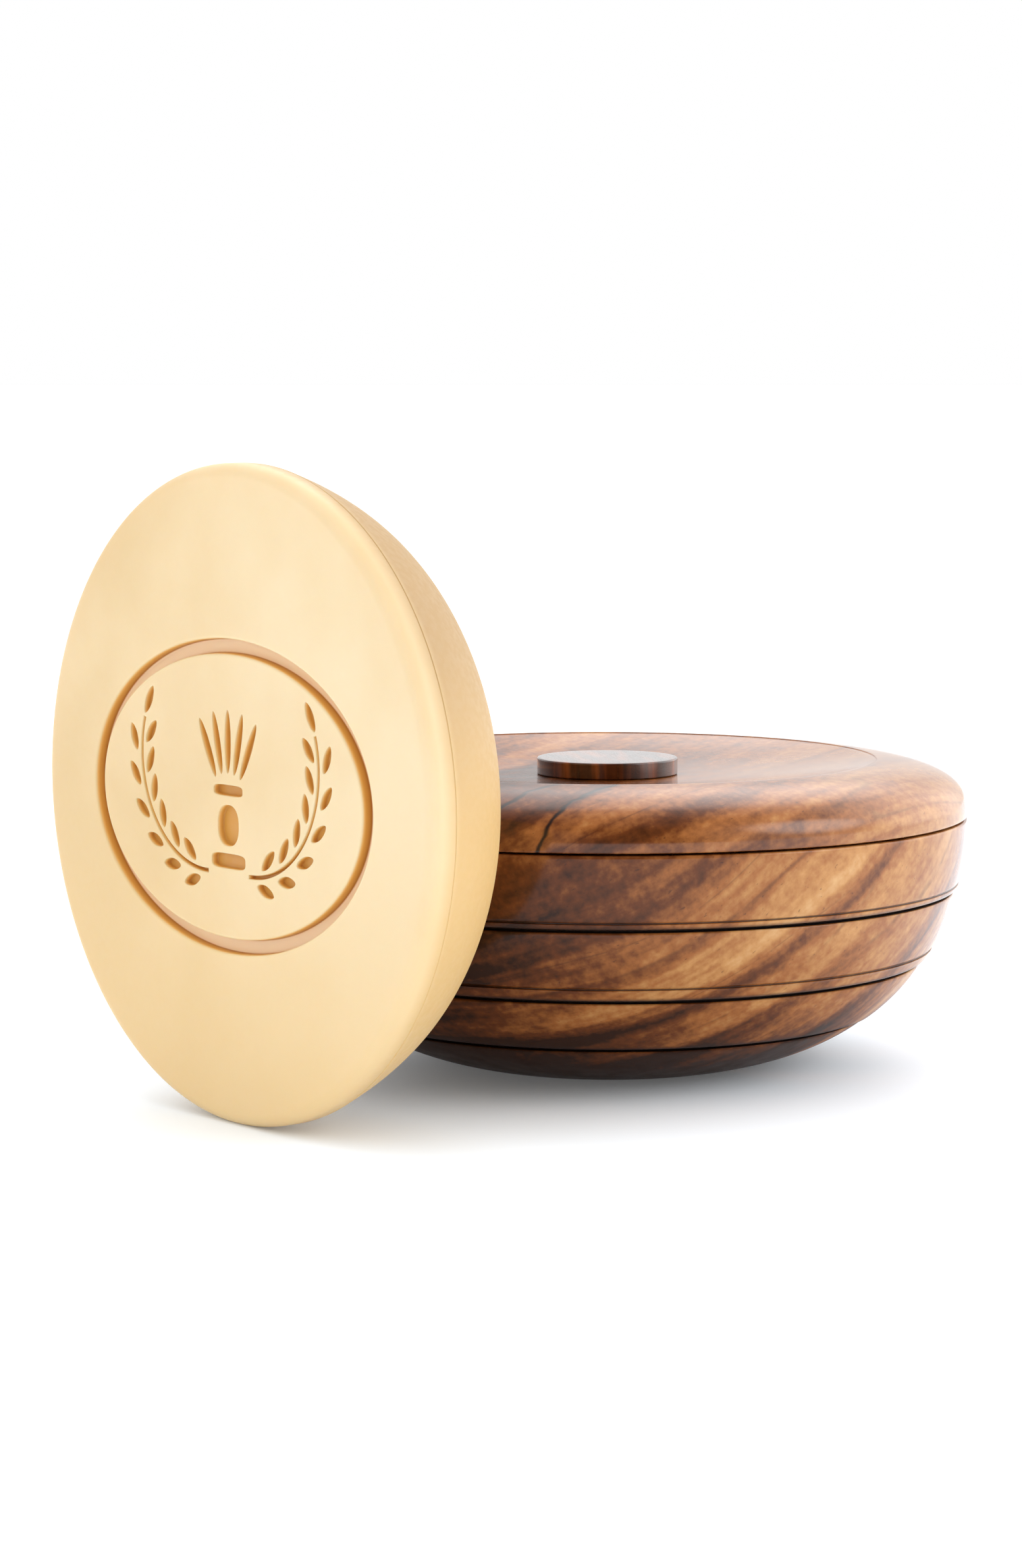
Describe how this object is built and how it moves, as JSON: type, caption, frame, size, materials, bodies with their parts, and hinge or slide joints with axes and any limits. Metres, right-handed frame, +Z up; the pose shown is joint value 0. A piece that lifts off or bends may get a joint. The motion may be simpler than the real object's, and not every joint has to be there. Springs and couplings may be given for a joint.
{
  "type": "shaving bowl with lid and soap",
  "caption": "Turned wooden shaving bowl with a lift-off lid, a low knob, and a round cake of shaving soap that fits the bowl.",
  "frame": {"origin": "centre of the bowl's foot, on the surface that the bowl stands on", "axes": "+Z up along the bowl's axis; -Y towards the front, where the soap cake stands; +X to the right seen from the front"},
  "size_m": [0.1433, 0.1517, 0.0963],
  "materials": {
    "figured_wood": "polished lacquer over figured brown grain",
    "dark_wood": "polished",
    "soap_cream": "smooth, waxy"
  },
  "bodies": {
    "bowl": {"bowl": "figured_wood"},
    "lid": {"lid": "figured_wood", "knob": "dark_wood"},
    "soap": {"soap_puck": "soap_cream"}
  },
  "joints": [
    {"name": "lid_lift", "type": "slide", "parent": "bowl", "child": "lid", "axis": [0, 0, 1], "range_m": [0, 0.07]},
    {"name": "soap_lift", "type": "slide", "parent": "bowl", "child": "soap", "axis": [0, 0, 1], "range_m": [0, 0.05]}
  ]
}
